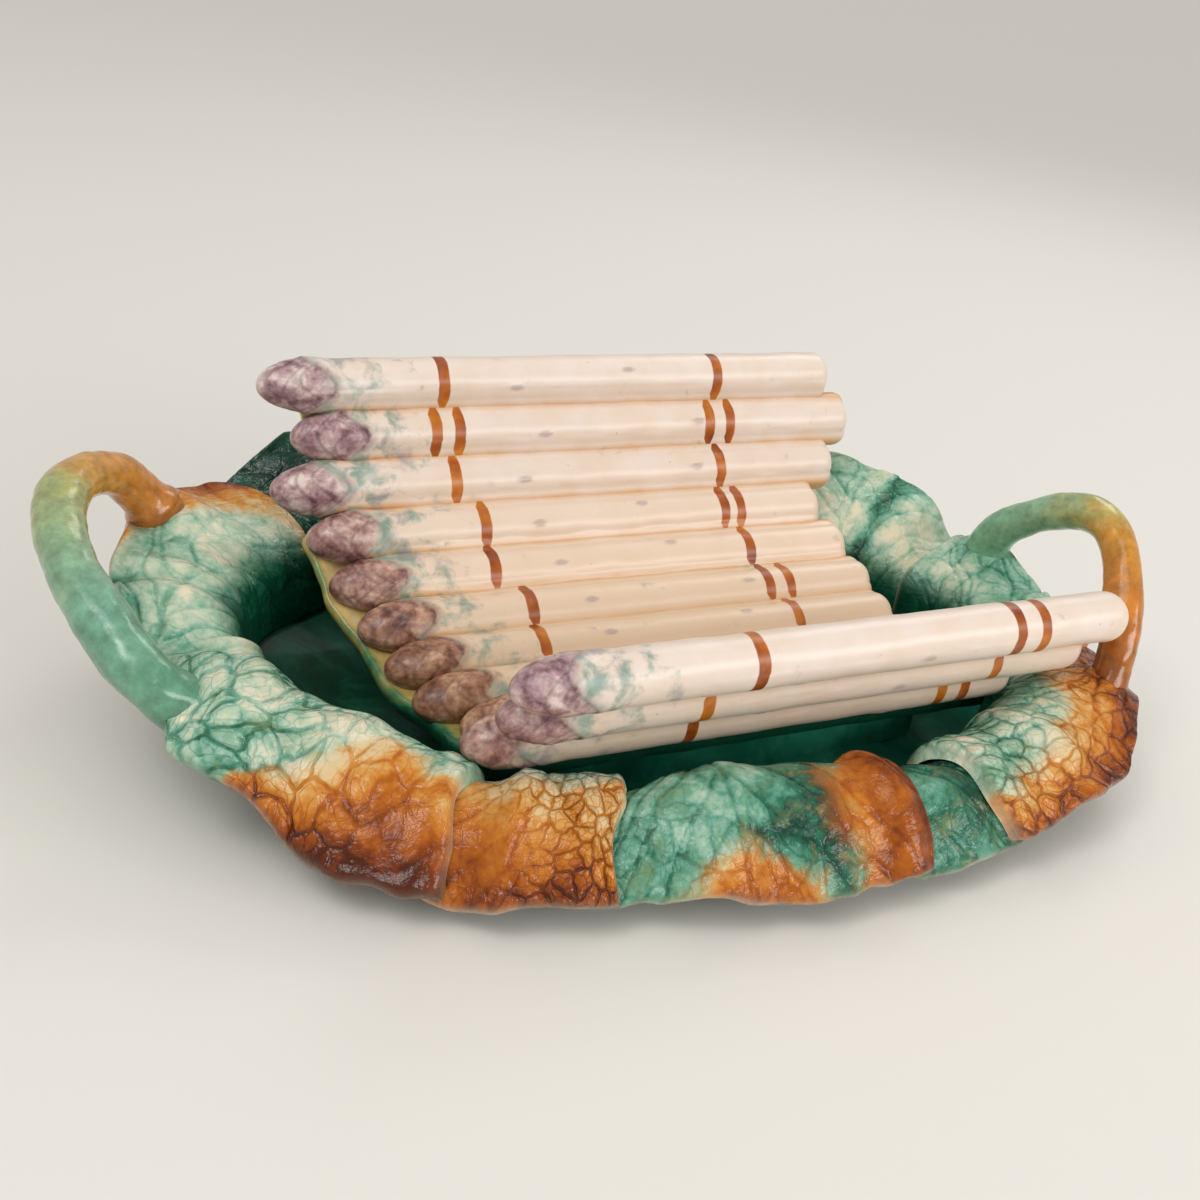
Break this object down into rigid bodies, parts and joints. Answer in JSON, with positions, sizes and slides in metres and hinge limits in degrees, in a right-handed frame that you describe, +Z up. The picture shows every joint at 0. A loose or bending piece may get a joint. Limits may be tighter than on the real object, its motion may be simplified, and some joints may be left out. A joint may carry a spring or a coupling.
{
  "type": "asparagus plate",
  "caption": "Majolica oval leaf dish with branch handles and a fixed trough-shaped cradle of asparagus spears for serving asparagus.",
  "frame": {"origin": "on the table, under the centre of the whole outline", "axes": "+X along the length of the dish from the left handle to the right one, +Y from the low front wall of the cradle to its high back wall, +Z up"},
  "size_m": [0.4203, 0.2643, 0.126],
  "materials": {
    "dark_green_glaze": "very dark green lead glaze, glossy",
    "cream_body": "cream earthenware body, wiped foot",
    "leaf_glaze": "celadon and turquoise green glaze over cream, darker in the veins, honey brown at the edges",
    "deep_leaf_glaze": "deep green glaze, glossy",
    "amber_leaf_glaze": "honey and amber brown glaze with darker veins, glossy",
    "branch_glaze": "orange-brown running into yellow-green and green glaze, glossy",
    "shell_glaze": "cream-yellow glaze running into green, glossy",
    "spear_glaze": "ivory glaze, mauve tips with green mottling and brown twine bands, glossy",
    "inner_spear_glaze": "yellowish ivory glaze, purple-brown tips and brown twine bands, glossy"
  },
  "bodies": {
    "root": {"basin": "dark_green_glaze", "foot_ring": "cream_body", "leaf_front_left": "leaf_glaze", "leaf_front_left_inner": "amber_leaf_glaze", "leaf_front": "leaf_glaze", "leaf_front_right_inner": "deep_leaf_glaze", "leaf_front_right": "leaf_glaze", "leaf_right": "leaf_glaze", "leaf_back_right": "leaf_glaze", "leaf_back_right_inner": "deep_leaf_glaze", "leaf_back": "leaf_glaze", "leaf_back_left_inner": "deep_leaf_glaze", "leaf_back_left": "deep_leaf_glaze", "leaf_left": "leaf_glaze", "handle_left": "branch_glaze", "handle_right": "branch_glaze", "cradle_shell": "shell_glaze", "cradle_plinth": "dark_green_glaze", "spear_01": "spear_glaze", "spear_02": "spear_glaze", "spear_03": "spear_glaze", "spear_04": "spear_glaze", "spear_05": "inner_spear_glaze", "spear_06": "inner_spear_glaze", "spear_07": "inner_spear_glaze", "spear_08": "inner_spear_glaze", "spear_09": "inner_spear_glaze", "spear_10": "spear_glaze", "spear_11": "spear_glaze", "spear_12": "spear_glaze"}
  },
  "joints": []
}
